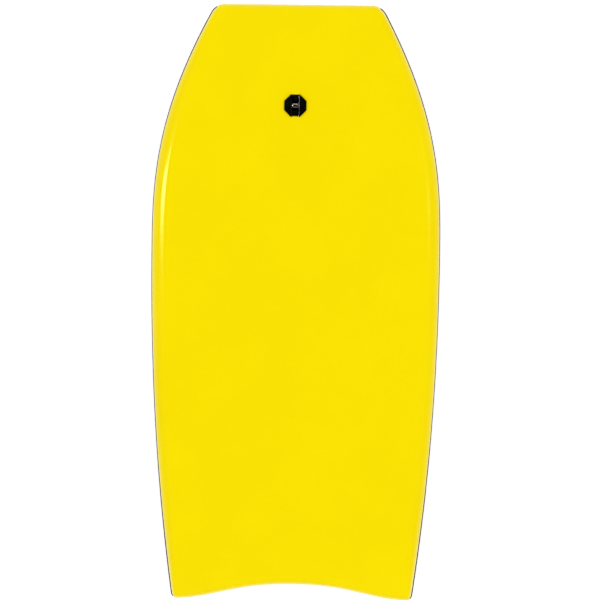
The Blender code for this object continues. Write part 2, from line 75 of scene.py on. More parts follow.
# Rail section. The shoulder is how far in the deck starts to fall, the tuck how far the bottom edge is in.
SIDE_SHOULDER = 0.026
NOSE_SHOULDER = 0.012
TAIL_SHOULDER = 0.0095
SIDE_TUCK = 0.010
NOSE_TUCK = 0.004
TAIL_TUCK = 0.0025
SHOULDER_BLEND_LENGTH = 0.180
RAIL_REVEAL_MIDDLE = 0.0011  # the rail strips show this much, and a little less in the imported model
RAIL_REVEAL_CORNER = 0.0021
FLANK_BULGE = 0.0008
SKIN_LIP = 0.0011  # the deck skin's lower edge is rounded to this radius
STRIP_LIP = 0.0006
STRIP_FOOT = 0.0004
STRIP_END_GROOVE = 0.0004  # a strip's ends are drawn in by this much
GROOVE_STEPS = ((0.0, 1.0), (0.4, 0.3), (1.2, 0.0))  # how far along the strip and how far in, as shares of it
SLICK_EDGE = 0.00045
DECK_SWELL = 0.0003  # the deck sinks by up to this much in its soft unevenness
SWELL_SCALE = 9.0  # swells a metre

# Layers
GAP = 0.0003
SKIN = 0.0035
BOTTOM_FOAM = 0.003
SLICK = 0.001
FOAM_BASE = SLICK + GAP
FOAM_TOP = FOAM_BASE + BOTTOM_FOAM
CORE_BASE = FOAM_TOP + GAP

# Mesh steps round half of the outline, and up the rail
END_STEPS = 14
CORNER_STEPS = 12
FRONT_STEPS = 32
REAR_STEPS = 44
SHOULDER_STEPS = 14
LIP_STEPS = 5
FLANK_STEPS = 8
CURVE_SAMPLES = 2000  # places at which a curve's length is measured
HALVINGS = 40  # rounds of a search that halves its range each time
WELD = 1e-7  # vertices closer than this are one
CUT_OVERHANG = 1.1  # a cutting shape goes past a rounded lip by this share of it
CUT_STANDOFF = 1 / 16  # and stands off the face there by this share
SHARP_ANGLE = math.radians(38)  # edges sharper than this stay sharp in the shading

# Leash plug, in its own frame: z = 0 on the deck, +Z out of it
PLUG_BACK = 0.1776  # from the nose
PLUG_ASIDE = -0.004  # off the centreline, to the left
FLANGE_APOTHEM = 0.0191
FLANGE_PROUD = 0.0018
FLANGE_SUNK = 0.0022
FLANGE_EDGE = 0.00018
FLANGE_CORNER = 0.0011
FLANGE_CORNER_STEPS = 6
BARREL_RADIUS = 0.0122
BARREL_END = -0.044
BARREL_CHAMFER = 0.001
PLAIN_BARREL_END = -0.018
THREAD_DEPTH = 0.0008
THREAD_CLEARANCE = 0.0004
THREAD_PITCH = 0.0035
THREAD_LOW = -0.0425
THREAD_HIGH = -0.0245
THREAD_FADE = 0.002
THREAD_SIDES = 48
THREAD_PROFILE = ((0.0, 0), (0.3, 1), (0.5, 1), (0.8, 0))  # share of a pitch, root 0 or crest 1
SLEEVE_RADIUS = 0.0152
SLEEVE_TOP = -0.004
BORE_RADIUS = SLEEVE_RADIUS + GAP
CHANNEL_WIDTH = 0.0124
CHANNEL_ARC_RADIUS = 0.0792
CHANNEL_FLOOR = -0.0022
TROUGH_RADIUS = 0.0094
TROUGH_HEIGHT = -0.0043
PIN_RADIUS = 0.0042
PIN_LENGTH = 0.0206
PIN_EDGE = 0.0005
PIN_MIDDLE = 0.0120  # the length of its thick middle, between the channel's walls
PIN_SHOULDER = 0.0020  # the middle's ends are rounded down to the necks by this much
PIN_NECK = PIN_RADIUS - PIN_SHOULDER
PIN_BELOW_LAND = 0.0055
PIN_HEIGHT = FLANGE_PROUD - PIN_BELOW_LAND
NUT_PROUD = 0.0008
COIN_SLOT_WIDTH = 0.0026
COIN_SLOT_LENGTH = 0.024
COIN_SLOT_DEPTH = 0.0014
COIN_SLOT_LIP = 0.0003
CHANNEL_LIP = 0.0006
NOSE_MOUTH_ROLL = 0.0011  # the channel's floor rolls over the flange's side, more so towards the tail
TAIL_MOUTH_ROLL = 0.0037
RIM_ROLL = 0.0007
ARC_STEPS = 8
TROUGH_STEPS = 20
CHANNEL_STEPS = 12
ROUND_SIDES = 72
DIMPLE_DEPTH = 0.0003  # the flange draws the deck skin down
DIMPLE_REACH = 0.018
DIMPLE_CUTS = 3  # how often the edges of the skin's mesh are cut there, out to 1.5 reaches
FINE_REACH = 1.5 * DIMPLE_REACH
POCKET_LIP = 0.0006

# Studio
VIEW_WIDTH = 1.0508  # what the camera takes in from side to side, at half the board's height
CAMERA_HEIGHT = 6.0
SENSOR = 36.0  # millimetres, as the camera's settings have it
CAMERA_TURN = 0.0126  # the camera is turned anticlockwise by this much, seen from above
CAMERA_RIGHT = 0.0085
CAMERA_NOSEWARD = 0.0044
FLOOR_SIZE = 60.0
FLOOR_STEPS = 4
FLOOR_HEIGHT = -0.0003
HORIZON_GLOW = 1.035  # the tent's brightness along the horizon, and overhead
ZENITH_GLOW = 1.13
GROUND_SHARE = 0.58  # light that comes up from below, as a share of the horizon's
MIRRORED_GLOW = 0.2  # the horizon's brightness in a glossy face

# Where the tent's parts pass over into each other, as sines of the elevation
GROUND_FADE = (-0.06, 0.02)
MIRRORED_FADE = (0.12, 0.35)
OPENING_FADE = (math.sin(math.radians(68)), math.sin(math.radians(79)))

# Azimuth 0 is towards the nose and turns to +X. Angles are in degrees. Sizes are across and up, in metres.
Lamp = namedtuple("Lamp", "name target azimuth elevation distance size watts")
LAMPS = (
    Lamp("box_nose", (0, 0), 0, 18, 6.0, (5.0, 3.4), 58.0),
    Lamp("box_tail", (0, 0), 180, 16, 6.0, (5.0, 2.4), 10.0),
    Lamp("strip_left", (-0.235, 0.178), -86.5, 46, 1.5, (0.15, 0.85), 31.0),
    Lamp("strip_right", (0.235, 0.160), 87, 55, 1.5, (0.10, 0.75), 2.0),
)

Station = namedtuple("Station", "point tangent inward shoulder reveal tuck")


def smooth_step(value):
    value = min(max(value, 0.0), 1.0)
    return value * value * (3 - 2 * value)


def blend(start, end, share):
    return start + (end - start) * share


# Heights, as functions of y


def thickness(y):
    """The board is even in thickness, and thins towards the nose and the tail."""
    back = LENGTH / 2 - y
    nose = max(0.0, 1 - back / NOSE_THIN_LENGTH)
    tail = max(0.0, 1 - (LENGTH - back) / TAIL_THIN_LENGTH)
    return THICKNESS - (THICKNESS - NOSE_THICKNESS) * nose**2 - (THICKNESS - TAIL_THICKNESS) * tail**2


def bottom_height(y):
    """The bottom is flat from the tail to past the middle, then lifts to the nose."""
    back = LENGTH / 2 - y
    return NOSE_LIFT * max(0.0, 1 - back / ROCKER_LENGTH) ** 2


def deck_height(y):
    return bottom_height(y) + thickness(y)


def apex_height(y):
    return bottom_height(y) + APEX_SHARE * thickness(y)


# Outline


def curve_point(curve, t):
    """The point on a cubic Bezier curve at t, and the unit direction of travel there."""
    a, b, c, d = curve
    u = 1 - t
    point = u**3 * a + 3 * u * u * t * b + 3 * u * t * t * c + t**3 * d
    slope = u * u * (b - a) + 2 * u * t * (c - b) + t * t * (d - c)
    return point, slope.normalized()


def lengths_along(points):
    """How far each point is from the first, along the line through them."""
    travelled = [0.0]
    for before, after in zip(points, points[1:]):
        travelled.append(travelled[-1] + (after - before).length)
    return travelled


def trim_share(curve, distance):
    """The t at which a curve is this far from its start."""
    low, high = 0.0, 0.5
    for _ in range(HALVINGS):
        middle = (low + high) / 2
        if (curve_point(curve, middle)[0] - curve[0]).length < distance:
            low = middle
        else:
            high = middle
    return low


def even_shares(curve, first, last, steps):
    """Values of t from first to last that split the curve into equal lengths."""
    shares = [blend(first, last, i / CURVE_SAMPLES) for i in range(CURVE_SAMPLES + 1)]
    travelled = lengths_along([curve_point(curve, t)[0] for t in shares])
    wanted = [travelled[-1] * i / steps for i in range(steps + 1)]
    return [shares[min(range(len(shares)), key=lambda i: abs(travelled[i] - w))] for w in wanted]


def corner_curve(start, start_way, end, end_way):
    """A round corner that leaves start along one direction and reaches end along the other."""
    turn = start_way.angle(end_way)
    radius = (end - start).length / (2 * math.sin(turn / 2))
    reach = 4 / 3 * math.tan(turn / 4) * radius
    return start, start + reach * start_way, end - reach * end_way, end


def outline_curves():
    """The front and the rear of the right side, and the right half of the crescent, with sharp corners."""
    nose_y = LENGTH / 2
    nose_corner = Vector((NOSE_HALF_WIDTH, nose_y))
    widest = Vector((HALF_WIDTH, nose_y - WIDE_POINT_BACK))
    tail_corner = Vector((TAIL_HALF_WIDTH, -nose_y))
    tail_centre = Vector((0, CRESCENT_DEPTH - nose_y))
    ahead = Vector((0, 1))
    across = Vector((1, 0))
    front = (
        nose_corner,
        nose_corner + NOSE_REACH * Vector((math.sin(NOSE_FLARE), -math.cos(NOSE_FLARE))),
        widest + WIDE_REACH_FRONT * ahead,
        widest,
    )
    rear = (
        widest,
        widest - WIDE_REACH_REAR * ahead,
        tail_corner + TAIL_REACH * Vector((math.sin(TAIL_TAPER), math.cos(TAIL_TAPER))),
        tail_corner,
    )
    crescent = (
        tail_corner,
        tail_corner - CRESCENT_REACH_TIP * across,
        tail_centre + CRESCENT_REACH_MIDDLE * across,
        tail_centre,
    )
    return front, rear, crescent


def half_outline():
    """Points and directions down the right half, from the nose centre to the tail centre."""
    front, rear, crescent = outline_curves()
    across = Vector((1, 0))
    nose_trim = NOSE_CORNER_RADIUS * math.tan((math.pi / 2 - NOSE_FLARE) / 2)
    tail_trim = TAIL_CORNER_RADIUS * math.tan((math.pi / 2 - TAIL_TAPER) / 2)
    front_start = trim_share(front, nose_trim)
    rear_end = 1 - trim_share(rear[::-1], tail_trim)
    crescent_start = trim_share(crescent, tail_trim)
    nose_end = front[0] - nose_trim * across
    nose_round = corner_curve(nose_end, across, *curve_point(front, front_start))
    tail_round = corner_curve(*curve_point(rear, rear_end), *curve_point(crescent, crescent_start))

    line = [(nose_end * Vector((i / END_STEPS, 1)), across) for i in range(END_STEPS)]
    line += [curve_point(nose_round, i / CORNER_STEPS) for i in range(CORNER_STEPS)]
    line += [curve_point(front, t) for t in even_shares(front, front_start, 1, FRONT_STEPS)[:-1]]
    line += [curve_point(rear, t) for t in even_shares(rear, 0, rear_end, REAR_STEPS)[:-1]]
    line += [curve_point(tail_round, i / CORNER_STEPS) for i in range(CORNER_STEPS)]
    line += [curve_point(crescent, t) for t in even_shares(crescent, crescent_start, 1, END_STEPS)]
    return line


# Indices of the corners' middles on the whole outline, which starts at the nose centre
HALF_COUNT = 2 * END_STEPS + 2 * CORNER_STEPS + FRONT_STEPS + REAR_STEPS
COUNT = 2 * HALF_COUNT
NOSE_RIGHT = END_STEPS + CORNER_STEPS // 2
TAIL_RIGHT = HALF_COUNT - NOSE_RIGHT
TAIL_LEFT = COUNT - TAIL_RIGHT
NOSE_LEFT = COUNT - NOSE_RIGHT
ACROSS = 2 * NOSE_RIGHT
ALONG = TAIL_RIGHT - NOSE_RIGHT


def section_sizes(index, point):
    """Shoulder, reveal and tuck at one place of the right half: slim at the ends, fuller on the side."""
    from_nose = LENGTH / 2 - point.y
    from_tail = LENGTH - from_nose
    side = smooth_step(min(from_nose, from_tail) / SHOULDER_BLEND_LENGTH)
    if index < NOSE_RIGHT or index > TAIL_RIGHT:
        side = 0.0
    near_nose = from_nose < from_tail
    shoulder = blend(NOSE_SHOULDER if near_nose else TAIL_SHOULDER, SIDE_SHOULDER, side)
    tuck = blend(NOSE_TUCK if near_nose else TAIL_TUCK, SIDE_TUCK, side)
    along = (index - NOSE_RIGHT) / ALONG
    reveal = blend(RAIL_REVEAL_MIDDLE, RAIL_REVEAL_CORNER, (2 * along - 1) ** 2)
    if index in (NOSE_RIGHT, TAIL_RIGHT):
        reveal /= 2
    if not NOSE_RIGHT <= index <= TAIL_RIGHT:
        reveal = 0.0
    return shoulder, reveal, tuck


def make_station(index, point, tangent):
    inward = Vector((tangent.y, -tangent.x))
    return Station(point, tangent, inward, *section_sizes(index, point))


def mirrored(station):
    flip = Vector((-1, 1))
    return station._replace(
        point=station.point * flip, tangent=-station.tangent * flip, inward=station.inward * flip
    )


def make_outline():
    """Every station round the board, clockwise from the nose centre."""
    right = [make_station(i, *place) for i, place in enumerate(half_outline())]
    return right + [mirrored(station) for station in right[-2:0:-1]]


# Points of the rail section


def at(station, inset, height):
    plan = station.point + station.inward * inset
    return Vector((plan.x, plan.y, height))


def shoulder_point(station, angle, depth):
    """On the shoulder's quarter ellipse, angle 0 at the apex, or this deep below it."""
    width = station.shoulder - station.reveal
    inset = station.reveal + width * (1 - math.cos(angle))
    y = (station.point + station.inward * inset).y
    rise = deck_height(y) - apex_height(y)
    normal = Vector((math.cos(angle) / width, math.sin(angle) / rise)).normalized()
    height = apex_height(y) + rise * math.sin(angle)
    return at(station, inset + depth * normal.x, height - depth * normal.y)


def flank_point(station, lift, depth):
    """On the straight flank between the apex and the bottom edge, this far above the bottom."""
    apex = APEX_SHARE * thickness(station.point.y)
    inset = depth + station.tuck * (1 - lift / apex)
    y = (station.point + station.inward * inset).y
    return at(station, inset, bottom_height(y) + lift)


def bottom_point(station, lift):
    """Where the bottom's flat middle starts, straight below the deck's."""
    y = (station.point + station.inward * station.shoulder).y
    return at(station, station.shoulder, bottom_height(y) + lift)


def quarter_angles(steps):
    return [math.pi / 2 * i / steps for i in range(steps + 1)]


def rounding(radius, steps=LIP_STEPS):
    """How far in, and how far short of the face, a round edge is on its way from the side to the face."""
    return [(radius * (1 - math.cos(a)), radius * (1 - math.sin(a))) for a in quarter_angles(steps)]


def shoulder_rings(stations, depth, lip=0.0):
    """Rings from the apex to the top of the shoulder, the first of them round a lip of this radius."""
    rings = []
    if lip:
        for inset, lift in rounding(lip)[:0:-1]:
            rings.append([
                at(station, station.reveal + inset, apex_height(station.point.y) + lift)
                for station in stations
            ])
    start = math.asin(lip / ((1 - APEX_SHARE) * TAIL_THICKNESS))
    for angle in quarter_angles(SHOULDER_STEPS):
        share = start + angle * (1 - start / (math.pi / 2))
        rings.append([shoulder_point(station, share, depth) for station in stations])
    return rings


def bottom_rings(stations, lift, depth_of):
    edge = [flank_point(station, lift, depth_of(station)) for station in stations]
    return [edge, [bottom_point(station, lift) for station in stations]]


def slick_rings(stations, face, toward):
    """Half of the slick's edge, rounded, then its flat face at this height. toward is +1 up, -1 down."""
    rings = []
    for inset, short in rounding(SLICK_EDGE):
        rings.append([flank_point(station, face - toward * short, inset) for station in stations])
    rings.append([bottom_point(station, face) for station in stations])
    return rings


# Closed meshes through rings of points


def join_rings(mesh, before, after):
    """A band of faces between two rings of vertices."""
    for i, vert in enumerate(before):
        k = (i + 1) % len(before)
        mesh.faces.new((vert, before[k], after[k], after[i]))


def ring_mesh(rings):
    """A closed mesh through rings of points, with a face over each end."""
    mesh = bmesh.new()
    loops = [[mesh.verts.new(point) for point in ring] for ring in rings]
    for before, after in zip(loops, loops[1:]):
        join_rings(mesh, before, after)
    mesh.faces.new(loops[0])
    mesh.faces.new(loops[-1])
    bmesh.ops.recalc_face_normals(mesh, faces=mesh.faces)
    return mesh


# Layers of the board


def border_index(across, along):
    """Which station lies at a border place of the middle patch, or None inside it."""
    if along == 0:
        return (NOSE_LEFT + across) % COUNT
    if along == ALONG:
        return TAIL_LEFT - across
    if across == 0:
        return NOSE_LEFT - along
    if across == ACROSS:
        return NOSE_RIGHT + along
    return None


def length_shares(points):
    travelled = lengths_along(points)
    return [value / travelled[-1] for value in travelled]


def middle_plan(border):
    """Plan points inside the shoulder line, blended from its four sides as a Coons patch."""
    nose = [border[border_index(i, 0)] for i in range(ACROSS + 1)]
    tail = [border[border_index(i, ALONG)] for i in range(ACROSS + 1)]
    left = [border[border_index(0, j)] for j in range(ALONG + 1)]
    right = [border[border_index(ACROSS, j)] for j in range(ALONG + 1)]
    plan = {}
    across_shares = [(a + b) / 2 for a, b in zip(length_shares(nose), length_shares(tail))]
    along_shares = [(a + b) / 2 for a, b in zip(length_shares(left), length_shares(right))]
    for i, u in enumerate(across_shares):
        for j, v in enumerate(along_shares):
            sides = left[j].lerp(right[j], u) + nose[i].lerp(tail[i], v)
            corners = left[0].lerp(right[0], u).lerp(left[-1].lerp(right[-1], u), v)
            plan[i, j] = sides - corners
    return plan


def add_surface(mesh, plan, rings, height):
    """Adds the rings, outermost first, and the middle patch at its height. Returns the outer ring."""
    loops = [[mesh.verts.new(point) for point in ring] for ring in rings]
    for outer, inner in zip(loops, loops[1:]):
        join_rings(mesh, outer, inner)
    grid = {}
    for (i, j), place in plan.items():
        index = border_index(i, j)
        if index is None:
            grid[i, j] = mesh.verts.new((place.x, place.y, height(place.y)))
        else:
            grid[i, j] = loops[-1][index]
    for i in range(ACROSS):
        for j in range(ALONG):
            mesh.faces.new((grid[i, j], grid[i + 1, j], grid[i + 1, j + 1], grid[i, j + 1]))
    return loops[0]


def layer_mesh(plan, upper, lower):
    """A closed layer between two surfaces, joined round their outer rings. A surface is its rings, and the
    height of its middle patch as a function of y."""
    mesh = bmesh.new()
    top = add_surface(mesh, plan, *upper)
    base = add_surface(mesh, plan, *lower)
    join_rings(mesh, top, base)
    bmesh.ops.recalc_face_normals(mesh, faces=mesh.faces)
    return mesh


def strip_section(station, pinch=0.0):
    """An edge strip's section from its top inner corner outwards and down, drawn in by pinch at its ends."""
    apex = shoulder_point(station, 0, 0).z - GAP
    inner = station.reveal + SKIN
    points = [at(station, inner, apex - pinch)]
    for inset, drop in rounding(STRIP_LIP)[::-1]:
        points.append(at(station, pinch + inset, apex - pinch - drop))
    top = apex - STRIP_LIP - bottom_height(station.point.y)
    foot = FOAM_BASE + STRIP_FOOT
    for step in range(1, FLANK_STEPS + 1):
        share = step / FLANK_STEPS
        bulge = FLANK_BULGE * math.sin(math.pi * share)
        points.append(flank_point(station, blend(top, foot, share), pinch - bulge))
    points.append(flank_point(station, FOAM_BASE + pinch, pinch + STRIP_FOOT))
    points.append(flank_point(station, FOAM_BASE + pinch, inner))
    return points


def strip_end(station, way):
    """Sections at a strip's end, drawn in towards the joint. way is +1 at its start and -1 at its end."""
    sections = []
    for along, pinch in GROOVE_STEPS:
        distance = way * (GAP / 4 + along * STRIP_END_GROOVE)
        moved = station._replace(point=station.point + station.tangent * distance)
        sections.append(strip_section(moved, pinch * STRIP_END_GROOVE))
    return sections


def strip_mesh(stations):
    """An edge strip between two corners, its ends rounded so that a fine groove shows at the joint."""
    middle = [strip_section(station) for station in stations[1:-1]]
    return ring_mesh(strip_end(stations[0], 1) + middle + strip_end(stations[-1], -1)[::-1])


# Objects


def make_object(name, mesh, place=None):
    data = bpy.data.meshes.new(name)
    mesh.to_mesh(data)
    mesh.free()
    if place:
        data.transform(place)
    item = bpy.data.objects.new(name, data)
    bpy.context.scene.collection.objects.link(item)
    return item


def apply_modifiers(item):
    bpy.context.view_layer.update()
    shown = item.evaluated_get(bpy.context.evaluated_depsgraph_get())
    old = item.data
    item.data = bpy.data.meshes.new_from_object(shown)
    item.data.name = item.name
    item.modifiers.clear()
    bpy.data.meshes.remove(old)


def combine(item, mesh, operation, place=None):
    """Joins a shape to an object, or cuts it out, and leaves only the result."""
    tool = make_object("tool", mesh, place)
    modifier = item.modifiers.new(operation.lower(), "BOOLEAN")
    modifier.operation = operation
    modifier.solver = "EXACT"
    modifier.object = tool
    apply_modifiers(item)
    bpy.data.objects.remove(tool)


def finish_piece(item, material, node):
    """Shading, material and the piece's place in the model."""
    item.data.materials.clear()
    item.data.materials.append(material)
    item.data.shade_smooth()
    item.data.set_sharp_from_angle(angle=SHARP_ANGLE)
    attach(item, "root")
    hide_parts(node)


# Leash plug shapes


def octagon_distance(x, y):
    """How far out a point is, measured square to the nearest of the octagon's flats."""
    return max(abs(x), abs(y), (abs(x) + abs(y)) / math.sqrt(2))


def octagon_ring(apothem, corner, height):
    """Points round an octagon with flats on +X and +Y, and with rounded corners."""
    reach = (apothem - corner) / math.cos(math.pi / 8)
    ring = []
    for side in range(8):
        middle = math.pi / 8 + math.pi / 4 * side
        for step in range(FLANGE_CORNER_STEPS + 1):
            angle = middle + math.pi / 4 * (step / FLANGE_CORNER_STEPS - 0.5)
            x = reach * math.cos(middle) + corner * math.cos(angle)
            y = reach * math.sin(middle) + corner * math.sin(angle)
            ring.append((x, y, height))
    return ring


def octagon_mesh(sections, way):
    """An octagonal prism through (apothem, corner radius, height), given upwards if way is +1, else down."""
    return ring_mesh([octagon_ring(*section) for section in sections[::way]])


def flange_mesh(inner, outer):
    """A flange from its inner face to its outer face, with that face's edge rounded."""
    way = 1 if outer > inner else -1
    sections = [(FLANGE_APOTHEM, FLANGE_CORNER, inner)]
    for inset, short in rounding(FLANGE_EDGE):
        sections.append((FLANGE_APOTHEM - inset, FLANGE_CORNER - inset, outer - way * short))
    return octagon_mesh(sections, way)


def pocket_mesh(bottom, surface, past):
    """The recess for a flange, its lip rounded into the surface. past is where the shape ends beyond it."""
    way = 1 if past > surface else -1
    apothem = FLANGE_APOTHEM + GAP
    sections = [(apothem, FLANGE_CORNER, bottom)]
    for out, short in rounding(POCKET_LIP):
        sections.append((apothem + out, FLANGE_CORNER + out, surface - way * short))
    out = 2 * POCKET_LIP
    sections.append((apothem + out, FLANGE_CORNER + out, surface + way * 2 * CUT_STANDOFF * POCKET_LIP))
    sections.append((apothem + out, FLANGE_CORNER + out, past))
    return octagon_mesh(sections, way)


def cylinder(radius, length, place):
    mesh = bmesh.new()
    bmesh.ops.create_cone(
        mesh, cap_ends=True, segments=ROUND_SIDES, radius1=radius, radius2=radius, depth=length, matrix=place
    )
    return mesh


def upright_cylinder(radius, low, high):
    return cylinder(radius, high - low, Matrix.Translation((0, 0, (low + high) / 2)))


def crosswise_cylinder(radius, length, height):
    place = Matrix.Translation((0, 0, height)) @ Matrix.Rotation(math.pi / 2, 4, "Y")
    return cylinder(radius, length, place)


def prism(outline, half_length, place):
    """An outline of (u, v) points, drawn out both ways. place turns (u, v, along) into a point."""
    return ring_mesh([[place(u, v, along) for u, v in outline] for along in (-half_length, half_length)])


def arc(centre, radius, start, end, steps=ARC_STEPS):
    """Points round part of a circle, both ends included."""
    angles = [blend(start, end, i / steps) for i in range(steps + 1)]
    return [(centre[0] + radius * math.cos(a), centre[1] + radius * math.sin(a)) for a in angles]


def half_hollow(roll):
    """One half of the hollow's side outline, from the bottom of the trough out past the channel's mouth."""
    floor_centre = CHANNEL_FLOOR + CHANNEL_ARC_RADIUS

    def roll_centre(radius, out):
        """The centre of a roll, this far out, that touches the channel's arc from below, and its angle."""
        reach = CHANNEL_ARC_RADIUS + radius
        angle = math.asin(out / reach)
        return (reach * math.sin(angle), floor_centre - reach * math.cos(angle)), angle

    mouth_centre, mouth = roll_centre(roll, FLANGE_APOTHEM - roll)
    rim_centre, rim = roll_centre(RIM_ROLL, TROUGH_RADIUS + RIM_ROLL)
    far = 2 * FLANGE_APOTHEM
    down = -math.pi / 2
    half = arc((0, TROUGH_HEIGHT), TROUGH_RADIUS, down, 0, TROUGH_STEPS)[1:]
    half += arc(rim_centre, RIM_ROLL, math.pi, math.pi / 2 + rim)
    half += arc((0, floor_centre), CHANNEL_ARC_RADIUS, down + rim, down + mouth, CHANNEL_STEPS)[1:-1]
    half += arc(mouth_centre, roll, math.pi / 2 + mouth, 0)
    return half + [(far, mouth_centre[1]), (far, 2 * FLANGE_PROUD)]


def hollow_mesh():
    """What the leash takes out of the cup, seen from the side: a shallow arc across the flange, rolled over
    at its two mouths and into a deep round trough under the pin."""
    tailward = [(-y, z) for y, z in reversed(half_hollow(TAIL_MOUTH_ROLL))]
    outline = [(0, TROUGH_HEIGHT - TROUGH_RADIUS)] + half_hollow(NOSE_MOUTH_ROLL) + tailward
    return prism(outline, CHANNEL_WIDTH / 2, lambda y, z, x: (x, y, z))


def channel_lip_mesh():
    """Rounds the channel's two long edges into the flange's face."""
    wall = CHANNEL_WIDTH / 2
    centre = (wall + CHANNEL_LIP, FLANGE_PROUD - CHANNEL_LIP)
    beyond = wall + CUT_OVERHANG * CHANNEL_LIP
    right = arc(centre, CHANNEL_LIP, math.pi, math.pi / 2)
    right += [(beyond, FLANGE_PROUD + CUT_STANDOFF * CHANNEL_LIP), (beyond, FLANGE_PROUD + CHANNEL_LIP)]
    outline = right + [(-x, z) for x, z in reversed(right)]
    return prism(outline, 2 * FLANGE_APOTHEM, lambda x, z, y: (x, y, z))


def coin_slot_mesh(face):
    """A slot with round ends, sunk up into the bottom face, its lip rounded."""
    sections = [(0.0, face + COIN_SLOT_DEPTH)]
    sections += [(out, face + short) for out, short in rounding(COIN_SLOT_LIP)]
    beyond = CUT_OVERHANG * COIN_SLOT_LIP
    sections += [(beyond, face - CUT_STANDOFF * COIN_SLOT_LIP), (beyond, face - COIN_SLOT_DEPTH)]
    straight = (COIN_SLOT_LENGTH - COIN_SLOT_WIDTH) / 2
    rings = []
    for out, height in sections:
        radius = COIN_SLOT_WIDTH / 2 + out
        ring = arc((straight, 0), radius, -math.pi / 2, math.pi / 2)
        ring += arc((-straight, 0), radius, math.pi / 2, 3 * math.pi / 2)
        rings.append([(x, y, height) for x, y in ring])
    return ring_mesh(rings)


def threaded_rod(plain_rings, radius_of, high):
    """A rod up to a plain top. plain_rings are (radius, height) below the thread, and radius_of takes
    the thread's shape, 0 at its root and 1 at its crest, and how far it has faded in at that height."""
    turns = math.ceil((THREAD_HIGH - THREAD_LOW) / THREAD_PITCH) + 2
    rows = []
    for turn in range(turns):
        rows += [(turn - 1 + share, shape) for share, shape in THREAD_PROFILE]
    mesh = bmesh.new()
    columns = []
    for side in range(THREAD_SIDES):
        angle = 2 * math.pi * side / THREAD_SIDES
        column = []
        for turn, shape in rows:
            free = THREAD_LOW + THREAD_PITCH * (turn + side / THREAD_SIDES)
            height = min(max(free, THREAD_LOW), THREAD_HIGH)
            faded = min(1.0, (height - THREAD_LOW) / THREAD_FADE, (THREAD_HIGH - height) / THREAD_FADE)
            radius = radius_of(shape, faded)
            column.append((radius * math.cos(angle), radius * math.sin(angle), height))
        columns.append([mesh.verts.new(point) for point in column])
    step = len(THREAD_PROFILE)
    columns.append(columns[0][step:])  # one turn later, the first side again
    for before, after in zip(columns, columns[1:]):
        for i in range(min(len(before), len(after)) - 1):
            mesh.faces.new((before[i], after[i], after[i + 1], before[i + 1]))
    bmesh.ops.remove_doubles(mesh, verts=mesh.verts, dist=WELD)
    bottom = ring_at(mesh, THREAD_LOW)
    top = ring_at(mesh, THREAD_HIGH)
    for radius, height in plain_rings:
        bottom = extend_ring(mesh, bottom, radius, height)
    top = extend_ring(mesh, top, radius_of(0, 0), high)
    mesh.faces.new(bottom)
    mesh.faces.new(top)
    bmesh.ops.recalc_face_normals(mesh, faces=mesh.faces)
    return mesh


def ring_at(mesh, height):
    """The plain ring of vertices at a height, in order round the axis."""
    ring = [vert for vert in mesh.verts if abs(vert.co.z - height) < WELD]
    return sorted(ring, key=lambda vert: math.atan2(vert.co.y, vert.co.x) % (2 * math.pi))


def extend_ring(mesh, ring, radius, height):
    """A further ring at another radius and height, joined to this one."""
    new = []
    for vert in ring:
        way = Vector((vert.co.x, vert.co.y)).normalized() * radius
        new.append(mesh.verts.new((way.x, way.y, height)))
    join_rings(mesh, ring, new)
    return new


def plug_frame():
    """The plug's place and tilt on the deck, and the height of the slick face in its frame."""
    y = LENGTH / 2 - PLUG_BACK
    step = 0.001
    slope = math.atan2(deck_height(y + step) - deck_height(y - step), 2 * step)
    place = Matrix.Translation((PLUG_ASIDE, y, deck_height(y))) @ Matrix.Rotation(slope, 4, "X")
    return place, -thickness(y) * math.cos(slope)


# The pieces


def swell_deck(mesh, plug):
    """Gives the deck its slight unevenness, and draws it down round the plug."""
    to_plug = plug.inverted()
    mesh.normal_update()
    near = [
        edge for edge in mesh.edges
        if all((to_plug @ vert.co).xy.length < FLANGE_APOTHEM + FINE_REACH for vert in edge.verts)
    ]
    bmesh.ops.subdivide_edges(mesh, edges=near, cuts=DIMPLE_CUTS, use_grid_fill=True)
    top_side = [
        vert for vert in mesh.verts
        if vert.co.z > apex_height(vert.co.y) + SKIN_LIP and vert.normal.z > 0
    ]
    for vert in top_side:
        local = to_plug @ vert.co
        swell = (1 - noise.noise(vert.co * SWELL_SCALE)) / 2
        away = octagon_distance(local.x, local.y) - FLANGE_APOTHEM
        vert.co.z -= DECK_SWELL * swell * smooth_step(vert.normal.z)
        vert.co.z -= DIMPLE_DEPTH * (1 - smooth_step(away / DIMPLE_REACH))


def make_layers(stations, plug):
    """The skin, the core and the two bottom layers, each between two surfaces over the same plan."""
    plan = middle_plan([station.point + station.inward * station.shoulder for station in stations])

    def deck_surface(depth, lip=0.0):
        return shoulder_rings(stations, depth, lip), lambda y: deck_height(y) - depth

    def inner_surface(lift):
        rings = bottom_rings(stations, lift, lambda station: station.reveal + SKIN + GAP)
        return rings, lambda y: bottom_height(y) + lift

    def slick_surface(face, toward):
        return slick_rings(stations, face, toward), lambda y: bottom_height(y) + face

    skin_mesh = layer_mesh(plan, deck_surface(0, SKIN_LIP), deck_surface(SKIN))
    swell_deck(skin_mesh, plug)
    core_mesh = layer_mesh(plan, deck_surface(SKIN + GAP), inner_surface(CORE_BASE))
    backing_mesh = layer_mesh(plan, inner_surface(FOAM_TOP), inner_surface(FOAM_BASE))
    slick_mesh = layer_mesh(plan, slick_surface(SLICK, 1), slick_surface(0, -1))
    return (
        make_object("deck_foam", skin_mesh),
        make_object("eps_core", core_mesh),
        make_object("backing_foam", backing_mesh),
        make_object("slick_plastic", slick_mesh),
    )


